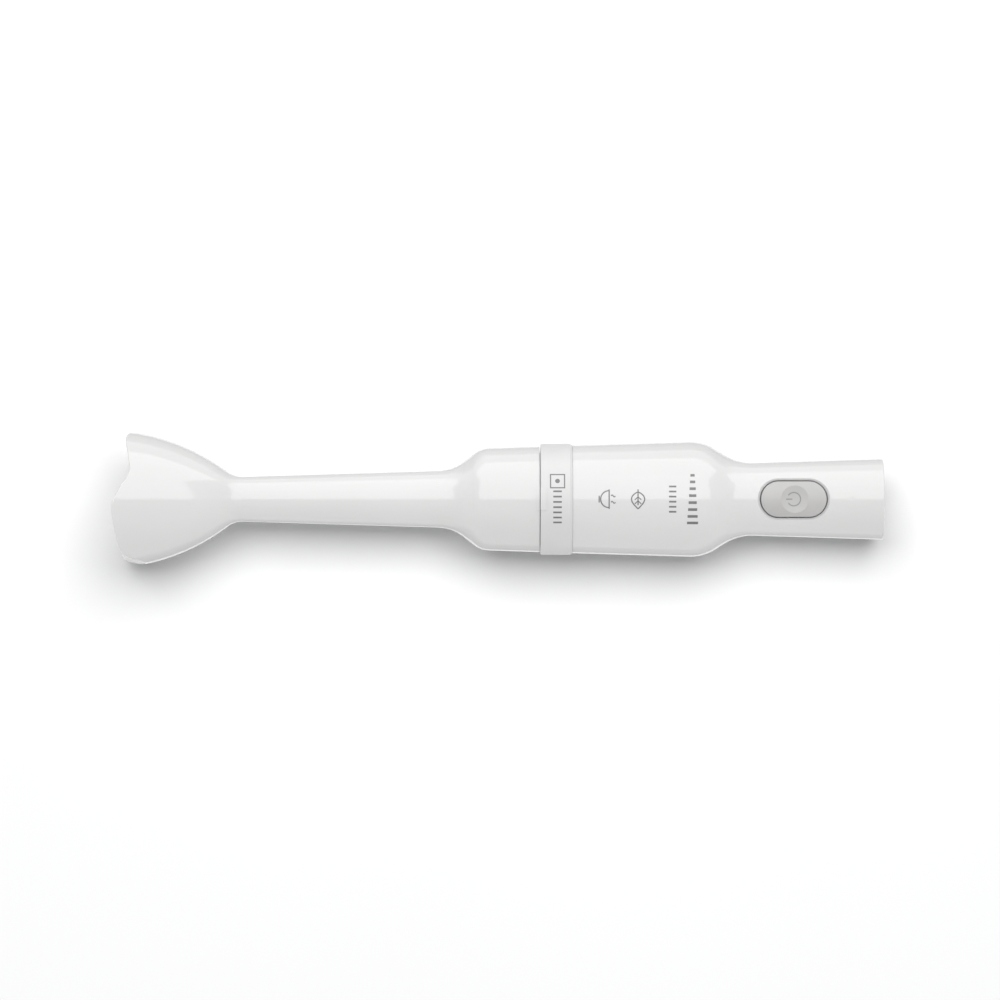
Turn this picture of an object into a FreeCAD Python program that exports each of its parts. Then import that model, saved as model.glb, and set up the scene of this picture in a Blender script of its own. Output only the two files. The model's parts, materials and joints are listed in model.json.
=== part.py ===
import FreeCAD, Part

import math
import os

from FreeCAD import Vector

# Hand-held stick blender with a pull-off blending bar, lying on its back with its button up.
#
# Everything is drawn about the X axis first. A station is a distance along the axis from the
# tips of the bell's rim (0) towards the end of the handle. At export the model moves so that
# the origin is the centre of its box on the surface it lies on: +X towards the handle, +Z up,
# out of the button. Millimetres throughout.

# ---------------------------------------------------------------- overall outline
total_length = 364.5      # tips of the bell to the end of the handle
rim_tips = -2.1           # station of the bell's foremost tips

rim_radius = 32.9         # bell, at the tips of its rim
bell_corner_station = 28.2       # where the bell's two straight tangents meet
bell_corner_drop = 3.1           # and how far inside the rim's radius
bell_curve = 97.0
waist_station = 54.8      # where the bell runs into the shaft tube
waist_radius = 10.55
waist_curve = 11.0
tube_end_station = 158.0  # where the shaft tube opens into the coupling cup
tube_end_radius = 13.7
tube_end_curve = 20.0
cup_shoulder = (171.4, 24.2)
cup_shoulder_curve = 12.0
cup_rim_radius = 25.15

collar_start = 199.8      # lower face of the matt collar
collar_length = 15.2
collar_radius = 26.3      # at its lower face
collar_flare = 0.2        # growth in radius over its length
collar_chamfer = (1.3, 0.8)      # along the axis, across it
collar_round = 0.7
joint_gap = 0.35          # groove between the bar and the collar

body_start_radius = 25.65
body_corner = (277.2, 27.5)
body_curve = 22.0
grip_corner = (293.7, 17.1)
grip_curve = 24.0
grip_end_radius = 19.2

housing_wall = 2.2
bar_wall = 2.2
seam_gap = 0.12           # between the front and back half shells
fit_gap = 0.05            # radial, between pieces fixed to each other
slide_gap = 0.3           # between pieces that slide past each other
run_gap = 0.05            # radial, between a shaft and its bush

# ---------------------------------------------------------------- bell rim
rim_line = [              # degrees round from straight up towards +Y, station of the edge there
    (10, 1.8),
    (26, 6.3),
    (44, 5.1),
    (64, 3.8),
    (79, 4.8),
    (91, 8.2),
    (110, 11.0),
    (136, 5.2),
    (160, 3.0),
    (180, 2.6),
    (205, 2.2),
    (238, 0.0),
    (255, 6.3),
    (272, 12.2),
    (290, 10.3),
    (307, 2.4),
    (330, -0.4),
    (354, rim_tips),
]
rim_step = 5              # degrees between the points that guide the cut
rim_round = 0.7
rib_first = 2.0           # degrees, the fin behind the foremost tip

bell_ceiling = 47.0       # station of the bell's inner end
web_thickness = 4.0       # plastic between the bell and the tube
boss_radius = 8.4
boss_start = 38.0
rib_count = 3
rib_thickness = 1.8
rib_start = 33.5

# ---------------------------------------------------------------- blade drive
shaft_radius = 3.0
tenon_radius = 2.4        # shaft's lower end, that carries blade and rivet
bush_wall = 2.2
lower_bush_start = 42.2
lower_bush_length = 10.0
seal_recess = 0.5         # how far the seal sits inside the boss
blade_station = 22.0      # lower face of the blade's flat centre
blade_thickness = 1.2
blade_tip_gap = 3.4       # blade tip to the bell's wall
blade_root_width = 9.0
blade_bend = 14.0         # degrees, one wing down and the other up
blade_bend_radius = 9.0   # where the wings start to bend
hub_radius = 7.0
hub_top_radius = 9.6
hub_skirt_gap = 0.8       # hub to the boss above it
rivet_radius = 4.6
rivet_height = 2.6

head_plate_start = 174.6  # plate that closes the shaft tube inside the cup
head_plate_thickness = 2.4
head_sleeve_start = 150.0
head_sleeve_radius = 10.6
upper_bush_length = 12.0
washer_thickness = 0.8
clip_thickness = 0.7

# ---------------------------------------------------------------- coupling
neck_radius = 21.9        # the motor unit's neck that the cup slides over
neck_wall = 2.0
neck_start = 179.6
chamber_ceiling = 191.6   # lower face of the plate above the coupling
chamber_plate = 2.4
socket_radius = 8.6
socket_start = 177.8
socket_floor = 2.4
socket_length = 11.0
spline_count = 6
spline_root = 4.6
spline_tip = 6.2
spline_width = 2.4
spline_gap = 0.3          # all round the driving teeth
dog_tip_gap = 0.6

carrier_radius = 23.0     # neck's upper part, inside the collar
carrier_wall = 1.6
spigot_length = 2.8       # housing's lower lip inside the collar
spigot_wall = 1.4

index_width = 10.4        # raised pad that shows how the bar lines up
index_height = 0.35
index_on_bar = 1.6
index_on_collar = 2.9

# ---------------------------------------------------------------- latch and release button
release_length = 8.2      # along the axis
release_width = 15.0      # round the collar
release_corner = 2.5
release_proud = 0.1
release_flange = 0.9
latch_width = 6.0
latch_thickness = 0.6
latch_depth = 20.9        # radius of the leaf's inner face
latch_nose_station = 185.2
latch_nose_length = 3.2
latch_bite = 0.7          # nose inside the cup's pocket

# ---------------------------------------------------------------- motor
motor_shaft_radius = 3.0
motor_shaft_end = 278.0
fan_start = 197.4
fan_radius = 17.2
fan_length = 8.6
fan_blades = 9
bearing_radius = 9.5
bearing_width = 6.0
bracket_thickness = 3.0
lower_bearing_start = 209.2
stack_start = 222.0       # stator and armature laminations
stack_length = 26.0
stator_width = 38.0
stator_corner_radius = 22.8
stator_bore = 11.9
stator_window = (10.8, 15.7, 12.7)       # y from, y to, half height
air_gap = 0.6
armature_slots = 12
winding_radius = 10.3
winding_length = 4.8
commutator_start = 257.2
commutator_length = 10.0
commutator_radius = 8.0
commutator_bars = 24
upper_bracket_start = 268.6
bolt_radius = 1.2
bolt_offset = 14.6        # in Y and in Z from the axis
brush_width = 5.0         # along the axis
brush_height = 5.6
brush_length = 6.6
brush_holder_wall = 1.1
brush_holder_length = 10.4
brush_spring = (1.8, 0.5, 2.5)   # coil radius, wire, turns

# ---------------------------------------------------------------- power button and its switch
button_station = 319.5
button_length = 31.0
button_width = 16.8
button_gap = 0.5
button_proud = 0.25
button_skin = 2.4
button_flange = 1.2       # sideways and thick
dimple_radius = 6.5
dimple_depth = 1.4
opening_chamfer = 1.1
switch_size = (12.8, 5.8, 6.6)
switch_seat = 1.2         # height of the switch's base above the axis
plunger_radius = 1.1
plunger_height = 1.5
stem_size = (5.0, 4.0)
spring_spacing = 20.0     # between the two return springs
spring_radius = 1.9
spring_wire = 0.5
spring_turns = 5
well_height = 2.2         # hollow under the button that the springs reach into
carrier_tray = (299.5, 340.5)    # stations of the tray that holds switch and board
tray_thickness = 1.4

# ---------------------------------------------------------------- handle end
end_round = 0.7           # housing's outer edge round the cap
cap_recess = 0.4          # how far the cap sits inside the edge
cap_plate = 2.6
cap_spigot = 5.0
cap_flange = (1.4, 0.9)   # thickness, reach into the housing's groove
gland_radius = 6.4
gland_bore = 3.7          # takes a 7 mm round mains cord
gland_length = 12.4
gland_flange = 1.4
vent_count = 10
vent_width = 1.6
vent_reach = (8.6, 13.6)

screw_stations = (288.5, 345.0)
screw_radius = 1.45
screw_head = 2.7
screw_head_height = 1.8
screw_post = 3.6
screw_split = -3.0        # height where the two posts meet

AXIS = Vector(1, 0, 0)
parts = {}


# ---------------------------------------------------------------- drawing helpers
def unit(a, b):
    """Direction from a to b, two (station, radius) points."""
    length = math.hypot(b[0] - a[0], b[1] - a[1])
    return ((b[0] - a[0]) / length, (b[1] - a[1]) / length)


def flat_point(p):
    return Vector(p[0], p[1], 0)


def rounded_edges(corners):
    """Edges through (station, radius[, rounding]) corners, each rounded corner a tangent arc."""
    edges = []
    last = corners[0][:2]
    for before, corner, after in zip(corners, corners[1:], corners[2:]):
        here = corner[:2]
        rounding = corner[2] if len(corner) > 2 else 0
        if rounding:
            back = unit(here, before)
            ahead = unit(here, after)
            cosine = back[0] * ahead[0] + back[1] * ahead[1]
            half = math.acos(max(-1, min(1, cosine))) / 2
            run = rounding / math.tan(half)
            start = (here[0] + back[0] * run, here[1] + back[1] * run)
            end = (here[0] + ahead[0] * run, here[1] + ahead[1] * run)
            middle = unit(here, ((start[0] + end[0]) / 2, (start[1] + end[1]) / 2))
            reach = rounding / math.sin(half) - rounding
            top = (here[0] + middle[0] * reach, here[1] + middle[1] * reach)
            edges.append(Part.makeLine(flat_point(last), flat_point(start)))
            arc = Part.Arc(flat_point(start), flat_point(top), flat_point(end))
            edges.append(arc.toShape())
            last = end
        else:
            edges.append(Part.makeLine(flat_point(last), flat_point(here)))
            last = here
    edges.append(Part.makeLine(flat_point(last), flat_point(corners[-1][:2])))
    return edges


def parallel(corners, depth):
    """The outline moved towards the axis by depth, with its roundings kept concentric."""
    lines = []
    for a, b in zip(corners, corners[1:]):
        along = unit(a, b)
        inward = (along[1], -along[0])
        lines.append(((a[0] + inward[0] * depth, a[1] + inward[1] * depth), along))
    moved = [lines[0][0]]
    for (p, d), (q, e), corner in zip(lines, lines[1:], corners[1:]):
        cross = d[0] * e[1] - d[1] * e[0]
        t = ((q[0] - p[0]) * e[1] - (q[1] - p[1]) * e[0]) / cross
        turn = depth if cross < 0 else -depth
        rounding = corner[2] - turn if len(corner) > 2 else 0
        moved.append((p[0] + d[0] * t, p[1] + d[1] * t, rounding))
    last = corners[-1]
    inward = (lines[-1][1][1], -lines[-1][1][0])
    moved.append((last[0] + inward[0] * depth, last[1] + inward[1] * depth))
    return moved


def radius_at(corners, station):
    """Radius of an outline at a station."""
    probe = Part.makeLine(Vector(station, 0, 0), Vector(station, 2 * rim_radius, 0))
    return Part.Wire(rounded_edges(corners)).distToShape(probe)[1][0][0].y


def turned(corners):
    """Solid of revolution under an outline."""
    edges = rounded_edges(corners)
    first = flat_point(corners[0][:2])
    last = flat_point(corners[-1][:2])
    foot = Vector(first.x, 0, 0)
    toe = Vector(last.x, 0, 0)
    edges = edges + [Part.makeLine(last, toe), Part.makeLine(toe, foot), Part.makeLine(foot, first)]
    face = Part.Face(Part.Wire(Part.__sortEdges__(edges)))
    return face.revolve(Vector(0, 0, 0), AXIS, 360)


def disc(start, end, radius):
    return Part.makeCylinder(radius, end - start, Vector(start, 0, 0), AXIS)


def ring(start, end, inner, outer):
    return disc(start, end, outer).cut(disc(start, end, inner))


def cone(start, end, start_radius, end_radius):
    return Part.makeCone(start_radius, end_radius, end - start, Vector(start, 0, 0), AXIS)


def block(start, end, y0, y1, z0, z1):
    return Part.makeBox(end - start, y1 - y0, z1 - z0, Vector(start, y0, z0))


def centred_block(start, end, width, z0, z1):
    return block(start, end, -width / 2, width / 2, z0, z1)


def upright(station, y, z0, z1, radius):
    """Cylinder along Z."""
    return Part.makeCylinder(radius, z1 - z0, Vector(station, y, z0), Vector(0, 0, 1))


def stadium(station, length, width, z0, z1):
    """Upright prism with round ends, its length along the axis."""
    half = (length - width) / 2
    middle = centred_block(station - half, station + half, width, z0, z1)
    ends = [upright(station + side * half, 0, z0, z1, width / 2) for side in (-1, 1)]
    return middle.fuse(ends).removeSplitter()


def rounded_box(station, length, width, corner, z0, z1):
    """Upright prism with rounded corners."""
    box = centred_block(station - length / 2, station + length / 2, width, z0, z1)
    upright_edges = [e for e in box.Edges if abs(e.tangentAt(e.FirstParameter).z) > 0.99]
    return box.makeFillet(corner, upright_edges)


def spun(shape, degrees):
    """A copy turned about the axis."""
    copy = shape.copy()
    copy.rotate(Vector(0, 0, 0), AXIS, degrees)
    return copy


def around(shape, count, first=0.0):
    return [spun(shape, first + 360.0 * i / count) for i in range(count)]


def coil(centre, direction, length, radius, wire, turns):
    """Compression spring from centre along direction, its ends inside the length."""
    pitch = (length - wire) / turns
    helix = Part.makeHelix(pitch, pitch * turns, radius)
    section = Part.Wire(Part.makeCircle(wire / 2, Vector(radius, 0, 0), Vector(0, 1, 0)))
    spring = Part.Wire(helix.Edges).makePipeShell([section], True, True)
    spring.translate(Vector(0, 0, wire / 2))
    turn = FreeCAD.Rotation(Vector(0, 0, 1), direction)
    spring.Placement = FreeCAD.Placement(centre, turn).multiply(spring.Placement)
    return spring


def group(solids):
    return Part.makeCompound(solids)


# ---------------------------------------------------------------- shared outlines
shaft_bore = shaft_radius + run_gap
bush_radius = shaft_radius + bush_wall
bush_bore = bush_radius + fit_gap
collar_end = collar_start + collar_length
cup_rim = collar_start - joint_gap
body_start = collar_end + seam_gap
handle_end = total_length + rim_tips
cap_end = handle_end - cap_recess
cap_start = cap_end - cap_plate - cap_spigot
spigot_start = body_start - spigot_length
socket_end = socket_start + socket_length
stack_end = stack_start + stack_length
lower_bracket_start = lower_bearing_start + bearing_width / 2
carrier_end = lower_bracket_start
commutator_end = commutator_start + commutator_length
release_station = collar_start + collar_length / 2 - 0.4

bar_outline = [
    (rim_tips - 1, rim_radius),
    (bell_corner_station, rim_radius - bell_corner_drop, bell_curve),
    (waist_station, waist_radius, waist_curve),
    (tube_end_station, tube_end_radius, tube_end_curve),
    (*cup_shoulder, cup_shoulder_curve),
    (cup_rim, cup_rim_radius),
]
body_outline = [
    (body_start, body_start_radius),
    (*body_corner, body_curve),
    (*grip_corner, grip_curve),
    (handle_end, grip_end_radius),
]
bar_inside = parallel(bar_outline, bar_wall)
body_inside = parallel(body_outline, housing_wall)
cap_bore = radius_at(body_inside, cap_start)


def collar_at(station):
    return collar_radius + collar_flare * (station - collar_start) / collar_length


def grip_at(station):
    return radius_at(body_outline, station)


def rim_slope(i):
    """Slope of the rim line at its point i, level where the line turns back."""
    before, here, after = rim_line[i - 1], rim_line[i], rim_line[(i + 1) % len(rim_line)]
    if (here[1] - before[1]) * (after[1] - here[1]) <= 0:
        return 0.0
    return (after[1] - before[1]) / ((after[0] - before[0]) % 360)


def rim_station(angle):
    """Station of the bell's edge, angle degrees round from straight up."""
    i = max((k for k in range(len(rim_line)) if rim_line[k][0] <= angle % 360), default=-1)
    j = (i + 1) % len(rim_line)
    span = (rim_line[j][0] - rim_line[i][0]) % 360
    t = (angle - rim_line[i][0]) % 360 / span
    rise = rim_line[j][1] - rim_line[i][1]
    lead = span * (rim_slope(i) * t * (1 - t) ** 2 - rim_slope(j) * t * t * (1 - t))
    return rim_line[i][1] + rise * t * t * (3 - 2 * t) + lead


axis_height = max(
    -math.cos(math.radians(angle)) * radius_at(bar_outline, rim_station(angle) + rim_round)
    for angle in range(160, 211, 2)
)


# ---------------------------------------------------------------- blending bar
def rim_cutter():
    """Everything below the wavy rim, as a thick ring."""
    edges = []
    for radius in (rim_radius - 12, rim_radius + 6):
        points = []
        for angle in range(0, 360, rim_step):
            a = math.radians(angle)
            points.append(Vector(rim_station(angle), radius * math.sin(a), radius * math.cos(a)))
        curve = Part.BSplineCurve()
        curve.interpolate(points, True)
        edges.append(curve.toShape())
    return Part.makeRuledSurface(*edges).extrude(Vector(-rim_radius, 0, 0))


def on_rim(edge):
    """True for the edges of the cut that shapes the bell's rim."""
    for i in range(5):
        p = edge.valueAt(edge.FirstParameter + (edge.LastParameter - edge.FirstParameter) * i / 4)
        angle = math.degrees(math.atan2(p.y, p.z))
        if abs(p.x - rim_station(angle)) > 0.15 or math.hypot(p.y, p.z) < neck_radius:
            return False
    return True


def bell_cavity():
    cavity = turned(bar_inside).common(disc(rim_tips - 5, bell_ceiling, 2 * rim_radius))
    mouth = disc(rim_tips - 5, rim_tips, radius_at(bar_inside, rim_tips))
    return cavity.fuse(mouth)


def bell_ribs():
    """Thin fins inside the bell, between its wall and the boss."""
    fin = block(rib_start, bell_ceiling, -rib_thickness / 2, rib_thickness / 2, 0, rim_radius)
    fins = around(fin, rib_count, rib_first)
    bounds = turned(bar_inside).cut([
        disc(-1, bell_ceiling + 1, boss_radius - 0.5),
        disc(-1, boss_start + 0.5, hub_top_radius + 1.4),
    ])
    return [f.common(bounds) for f in fins]


def index_pad(start, end, outer):
    """Low raised pad on top of a ring, used as a line-up mark."""
    band = ring(start, end, outer - 1.0, outer + index_height)
    return band.common(block(start, end, -index_width / 2, index_width / 2, 0, outer + 5))


def latch_pocket():
    inner = radius_at(bar_inside, latch_nose_station)
    start = latch_nose_station - slide_gap
    end = latch_nose_station + latch_nose_length + slide_gap
    half = latch_width / 2 + slide_gap
    deep = inner + latch_bite + slide_gap
    return block(start, end, -half, half, -deep, -inner + 2)


def make_bar_shell():
    web_end = bell_ceiling + web_thickness
    hollow = turned(bar_inside).common(disc(web_end, cup_rim + 5, 2 * rim_radius))
    mouth = disc(cup_rim - 0.5, cup_rim + 5, radius_at(bar_inside, cup_rim - 0.5))
    shell = turned(bar_outline).cut([bell_cavity(), hollow, mouth, rim_cutter()])
    shell = shell.makeFillet(rim_round, [e for e in shell.Edges if on_rim(e)])
    shell = shell.fuse([disc(boss_start, bell_ceiling + 1, boss_radius)] + bell_ribs())
    seal_end = lower_bush_start
    shell = shell.cut([
        disc(boss_start - 1, seal_end, seal_radius() + fit_gap),
        disc(seal_end, lower_bush_start + lower_bush_length, bush_bore),
        disc(boss_start, web_end + 1, shaft_bore),
        latch_pocket(),
    ])
    pad_start = cup_rim - index_on_bar
    shell = shell.fuse(index_pad(pad_start, cup_rim, radius_at(bar_outline, pad_start)))
    parts["bar_shell"] = shell.removeSplitter()


def seal_radius():
    return bush_radius + 1.2


def make_blade_seal():
    """Lip seal between the blade hub and the lower bush."""
    start = boss_start + seal_recess
    end = lower_bush_start
    body = ring(start, end, shaft_radius + 1.2, seal_radius())
    lip = cone(start, start + 1.4, shaft_radius + 1.9, shaft_radius + 1.4)
    lip = lip.fuse(disc(start + 1.4, end, shaft_radius + 1.4))
    parts["blade_seal"] = body.fuse(lip).cut(disc(start - 1, end + 1, shaft_bore + fit_gap))


def make_bushes():
    lower_end = lower_bush_start + lower_bush_length
    parts["lower_bush"] = ring(lower_bush_start, lower_end, shaft_bore, bush_radius)
    start = head_plate_start + head_plate_thickness - upper_bush_length
    parts["upper_bush"] = ring(start, start + upper_bush_length, shaft_bore, bush_radius)


def make_bar_head():
    """Plug that closes the shaft tube inside the cup and carries the upper bush."""
    plate_end = head_plate_start + head_plate_thickness
    plate = disc(head_plate_start, plate_end, radius_at(bar_inside, head_plate_start) - fit_gap)
    sleeve = disc(head_sleeve_start, head_plate_start, head_sleeve_radius)
    wall = ring(head_sleeve_start - 1, plate_end - upper_bush_length, 0, head_sleeve_radius - 2)
    head = plate.fuse(sleeve).cut(wall)
    fin = block(head_sleeve_start + 14, head_plate_start, -1, 1, 0, neck_radius)
    room = turned(parallel(bar_inside, fit_gap)).cut(disc(0, handle_end, head_sleeve_radius - 1))
    head = head.fuse([f.common(room) for f in around(fin, 6, 30)])
    head = head.cut([
        disc(plate_end - upper_bush_length, plate_end + 1, bush_bore),
    ])
    parts["bar_head"] = head.removeSplitter()


def make_drive_shaft():
    shoulder = blade_station + blade_thickness + fit_gap
    shaft = disc(shoulder, socket_start + socket_floor, shaft_radius)
    shaft = shaft.fuse(disc(rivet_start() + 0.4, shoulder, tenon_radius))
    for station in clip_stations():
        shaft = shaft.cut(ring(station, station + clip_thickness, shaft_radius - 0.5, shaft_radius + 1))
    parts["drive_shaft"] = shaft


def clip_stations():
    """Grooves for the clips that keep the shaft from moving endways."""
    above_lower_bush = lower_bush_start + lower_bush_length + washer_thickness + 2 * fit_gap
    below_upper_bush = head_plate_start + head_plate_thickness - upper_bush_length
    return (above_lower_bush, below_upper_bush - washer_thickness - clip_thickness - 2 * fit_gap)


def make_shaft_washers():
    low, high = clip_stations()
    low_washer = low - fit_gap - washer_thickness
    high_washer = high + clip_thickness + fit_gap
    outer = bush_radius - 0.2
    parts["thrust_washers"] = group([
        ring(low_washer, low_washer + washer_thickness, shaft_bore, outer),
        ring(high_washer, high_washer + washer_thickness, shaft_bore, outer),
    ])


def make_shaft_clips():
    """E-shaped clips in the shaft's two grooves."""
    clips = []
    for station in clip_stations():
        end = station + clip_thickness - fit_gap
        clip = ring(station + fit_gap, end, shaft_radius - 0.5 + fit_gap, shaft_radius + 2.0)
        mouth = block(station, station + clip_thickness, -2.2, 2.2, -shaft_radius - 3, -1)
        clips.append(clip.cut(mouth))
    parts["shaft_clips"] = group(clips)


def blade_reach():
    return radius_at(bar_inside, blade_station) - blade_tip_gap


def blade_wing():
    """One wing in plan, with a curved cutting edge, before it is bent."""
    half = blade_root_width / 2
    tip = blade_reach()
    back = Part.makeLine(Vector(0, 0, -half), Vector(0, tip - 4, -half + 1.2))
    point = Part.Arc(
        Vector(0, tip - 4, -half + 1.2), Vector(0, tip - 0.6, -half + 2.6), Vector(0, tip, 1.0)
    ).toShape()
    edge = Part.Arc(
        Vector(0, tip, 1.0), Vector(0, tip * 0.55, half + 0.6), Vector(0, 0, half)
    ).toShape()
    root = Part.makeLine(Vector(0, 0, half), Vector(0, 0, -half))
    face = Part.Face(Part.Wire([back, point, edge, root]))
    return face.extrude(Vector(blade_thickness, 0, 0))


def make_blade():
    wings = []
    tip_end = blade_reach() + 5
    for side in (1, -1):
        wing = blade_wing()
        flat = wing.common(block(-5, 5, -1, blade_bend_radius, -20, 20))
        tip = wing.common(block(-5, 5, blade_bend_radius, tip_end, -20, 20))
        hinge = Vector(blade_thickness / 2, blade_bend_radius, 0)
        bent = tip.copy()
        bent.rotate(hinge, Vector(0, 0, 1), side * blade_bend)
        knuckle = Part.makeCylinder(blade_thickness / 2, 40, hinge - Vector(0, 0, 20), Vector(0, 0, 1))
        knuckle = knuckle.common(block(-2, 4, 0, 30, tip.BoundBox.ZMin + 0.2, 4.4))
        wing = flat.fuse([bent, knuckle])
        wings.append(spun(wing, 0 if side > 0 else 180))
    blade = wings[0].fuse([wings[1], disc(0, blade_thickness, rivet_radius + 1.2)])
    blade = blade.cut(disc(-1, blade_thickness + 1, tenon_radius + fit_gap))
    blade.translate(Vector(blade_station, 0, 0))
    parts["blade"] = blade.removeSplitter()


def make_blade_hub():
    """Moulded hub pressed on the shaft, flaring up to shield the seal."""
    start = blade_station + blade_thickness
    end = boss_start - hub_skirt_gap
    waist = (start + end) / 2 - 2
    hub = disc(start, waist, hub_radius)
    hub = hub.fuse(cone(waist, end, hub_radius, hub_top_radius))
    well = disc(end - 3.0, end + 1, boss_radius - 2.2)
    parts["blade_hub"] = hub.cut([disc(start - 1, end + 1, shaft_radius + fit_gap), well])


def rivet_start():
    return blade_station - rivet_height


def make_blade_rivet():
    """Pressed head that holds the blade against its hub."""
    middle = blade_station - rivet_height / 2
    head = disc(middle, blade_station - fit_gap, rivet_radius)
    dome = cone(rivet_start(), middle, rivet_radius - 1.6, rivet_radius)
    parts["blade_rivet"] = head.fuse(dome).cut(disc(0, blade_station, tenon_radius + fit_gap))


def make_drive_socket():
    """Toothed socket on the top of the bar's shaft."""
    body = disc(socket_start, socket_end, socket_radius)
    cavity = spline_solid(socket_start + socket_floor, socket_end + 1, spline_gap)
    lead_in = cone(socket_end - 1.2, socket_end + 0.01, spline_tip, spline_tip + 1.6)
    body = body.cut([cavity, lead_in, disc(socket_start - 1, socket_end, shaft_radius + fit_gap)])
    grips = around(upright_rib(socket_radius), 8)
    parts["drive_socket"] = body.cut(grips)


def upright_rib(radius):
    return Part.makeCylinder(0.9, socket_length - 4, Vector(socket_start - 1, 0, radius + 0.3), AXIS)


def spline_solid(start, end, growth):
    """Shaft with straight teeth, grown all round by growth."""
    solid = disc(start, end, spline_root + growth)
    half = spline_width / 2 + growth
    tooth = block(start, end, -half, half, 0, spline_tip + growth)
    return solid.fuse(around(tooth, spline_count)).common(disc(start, end, spline_tip + growth))


# ---------------------------------------------------------------- coupling end of the motor unit
def make_drive_dog():
    """Splined driver on the motor shaft that drops into the bar's socket."""
    start = socket_start + socket_floor + dog_tip_gap
    end = chamber_ceiling - 0.4
    dog = spline_solid(start, socket_end + 0.8, 0)
    dog = dog.fuse(disc(socket_end + 0.8, end, spline_root + 0.6))
    tip = cone(start, start + 1.5, spline_tip - 1.5, spline_tip).fuse(disc(start + 1.5, end, spline_tip))
    dog = dog.common(tip)
    parts["drive_dog"] = dog.cut(disc(start + 2.0, end + 1, motor_shaft_radius + fit_gap))


def make_coupling_neck():
    """Neck that the bar's cup slides over, and the carrier above it that holds the motor."""
    inner = neck_radius - neck_wall
    plate_end = chamber_ceiling + chamber_plate
    neck = ring(neck_start, plate_end, inner, neck_radius)
    lead = cone(neck_start - 0.01, neck_start + 1.2, neck_radius - 0.9, neck_radius)
    neck = neck.common(lead.fuse(disc(neck_start + 1.2, plate_end, neck_radius)))
    neck = neck.fuse(disc(chamber_ceiling, plate_end, neck_radius))
    neck = neck.fuse(ring(plate_end, collar_start + 1, neck_radius - neck_wall, neck_radius))
    carrier_inner = carrier_radius - carrier_wall
    neck = neck.fuse(ring(collar_start, carrier_end, carrier_inner, carrier_radius))
    neck = neck.fuse(ring(collar_start, collar_start + 1.6, neck_radius - 2, carrier_radius))
    neck = neck.fuse(ring(plate_end, plate_end + 2.0, 6.0, 8.0))
    half = latch_width / 2 + slide_gap
    channel_end = release_station + release_length / 2
    channel = block(latch_nose_station - 1.0, channel_end, -half, half, -carrier_radius - 1, -latch_depth + 1.6)
    pad_room = centred_block(
        release_station - release_length / 2 - release_flange - 0.3,
        release_station + release_length / 2 + release_flange + 0.3,
        release_width + 2 * release_flange + 0.6, -carrier_radius - 1, -latch_depth + 3.6,
    )
    hole = disc(chamber_ceiling - 1, plate_end + 3, motor_shaft_radius + 1.0)
    parts["coupling_neck"] = neck.cut([channel, pad_room, hole]).removeSplitter()


def make_collar():
    inner_low = carrier_radius + fit_gap
    inner_high = spigot_radius() + fit_gap
    outer = [
        (collar_start, collar_radius - collar_round),
        (collar_start, collar_radius, collar_round),
        (collar_end - collar_chamfer[0], collar_at(collar_end - collar_chamfer[0]), 0.6),
        (collar_end, collar_at(collar_end) - collar_chamfer[1]),
    ]
    collar = turned(outer)
    collar = collar.cut([
        disc(collar_start - 1, spigot_start - 0.3, inner_low),
        disc(spigot_start - 0.3, collar_end + 1, inner_high),
    ])
    opening = rounded_box(
        release_station, release_length + 2 * slide_gap, release_width + 2 * slide_gap,
        release_corner + slide_gap, -collar_radius - 2, 0,
    )
    collar = collar.cut(opening)
    pad = index_pad(collar_start, collar_start + index_on_collar, collar_radius)
    parts["collar_ring"] = collar.fuse(pad).removeSplitter()


def spigot_radius():
    return carrier_radius + 0.4 + spigot_wall


def make_release_button():
    """Flush button on the underside that presses the latch inwards."""
    pad = rounded_box(
        release_station, release_length, release_width, release_corner, -collar_radius - 2, -latch_depth,
    )
    skin = disc(0, handle_end, collar_at(release_station) + release_proud)
    hollow = disc(0, handle_end, carrier_radius + 0.6)
    pad = pad.common(skin).cut(hollow)
    foot = centred_block(
        release_station - 1.5, release_station + 1.5, latch_width - 1,
        -carrier_radius - 1.2, -latch_depth - latch_thickness - 0.1,
    )
    flange_inner = carrier_radius - 1.1
    flange = rounded_box(
        release_station, release_length + 2 * release_flange, release_width + 2 * release_flange,
        release_corner + release_flange, -collar_radius, 0,
    )
    flange = flange.common(ring(0, handle_end, flange_inner, carrier_radius - 0.1))
    web = rounded_box(
        release_station, release_length - 1.5, release_width - 1.5, release_corner - 0.6,
        -carrier_radius - 1.2, -carrier_radius + 3.5,
    ).common(ring(0, handle_end, flange_inner, carrier_radius + 0.8))
    button = pad.fuse([foot, flange, web])
    grooves = [
        centred_block(
            release_station + k * 1.9 - 0.35, release_station + k * 1.9 + 0.35, release_width - 6,
            -collar_radius - 2, -collar_radius + 0.15,
        )
        for k in (-1, 0, 1)
    ]
    parts["release_button"] = button.cut(grooves).removeSplitter()


def make_latch_spring():
    """Steel leaf with a hooked nose that catches the bar's cup."""
    nose_end = latch_nose_station + latch_nose_length
    leaf_end = release_station + release_length / 2 - 0.2
    outer = latch_depth + latch_thickness
    leaf = centred_block(latch_nose_station, leaf_end, latch_width, -outer, -latch_depth)
    reach = radius_at(bar_inside, latch_nose_station) + latch_bite
    profile = [
        Vector(latch_nose_station, 0, -outer + 0.1),
        Vector(nose_end - 1.4, 0, -reach),
        Vector(nose_end, 0, -reach),
        Vector(nose_end, 0, -outer + 0.1),
    ]
    wedge = Part.Face(Part.makePolygon(profile + [profile[0]]))
    wedge = wedge.extrude(Vector(0, latch_width, 0))
    wedge.translate(Vector(0, -latch_width / 2, 0))
    parts["latch_spring"] = leaf.fuse(wedge).removeSplitter()


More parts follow.
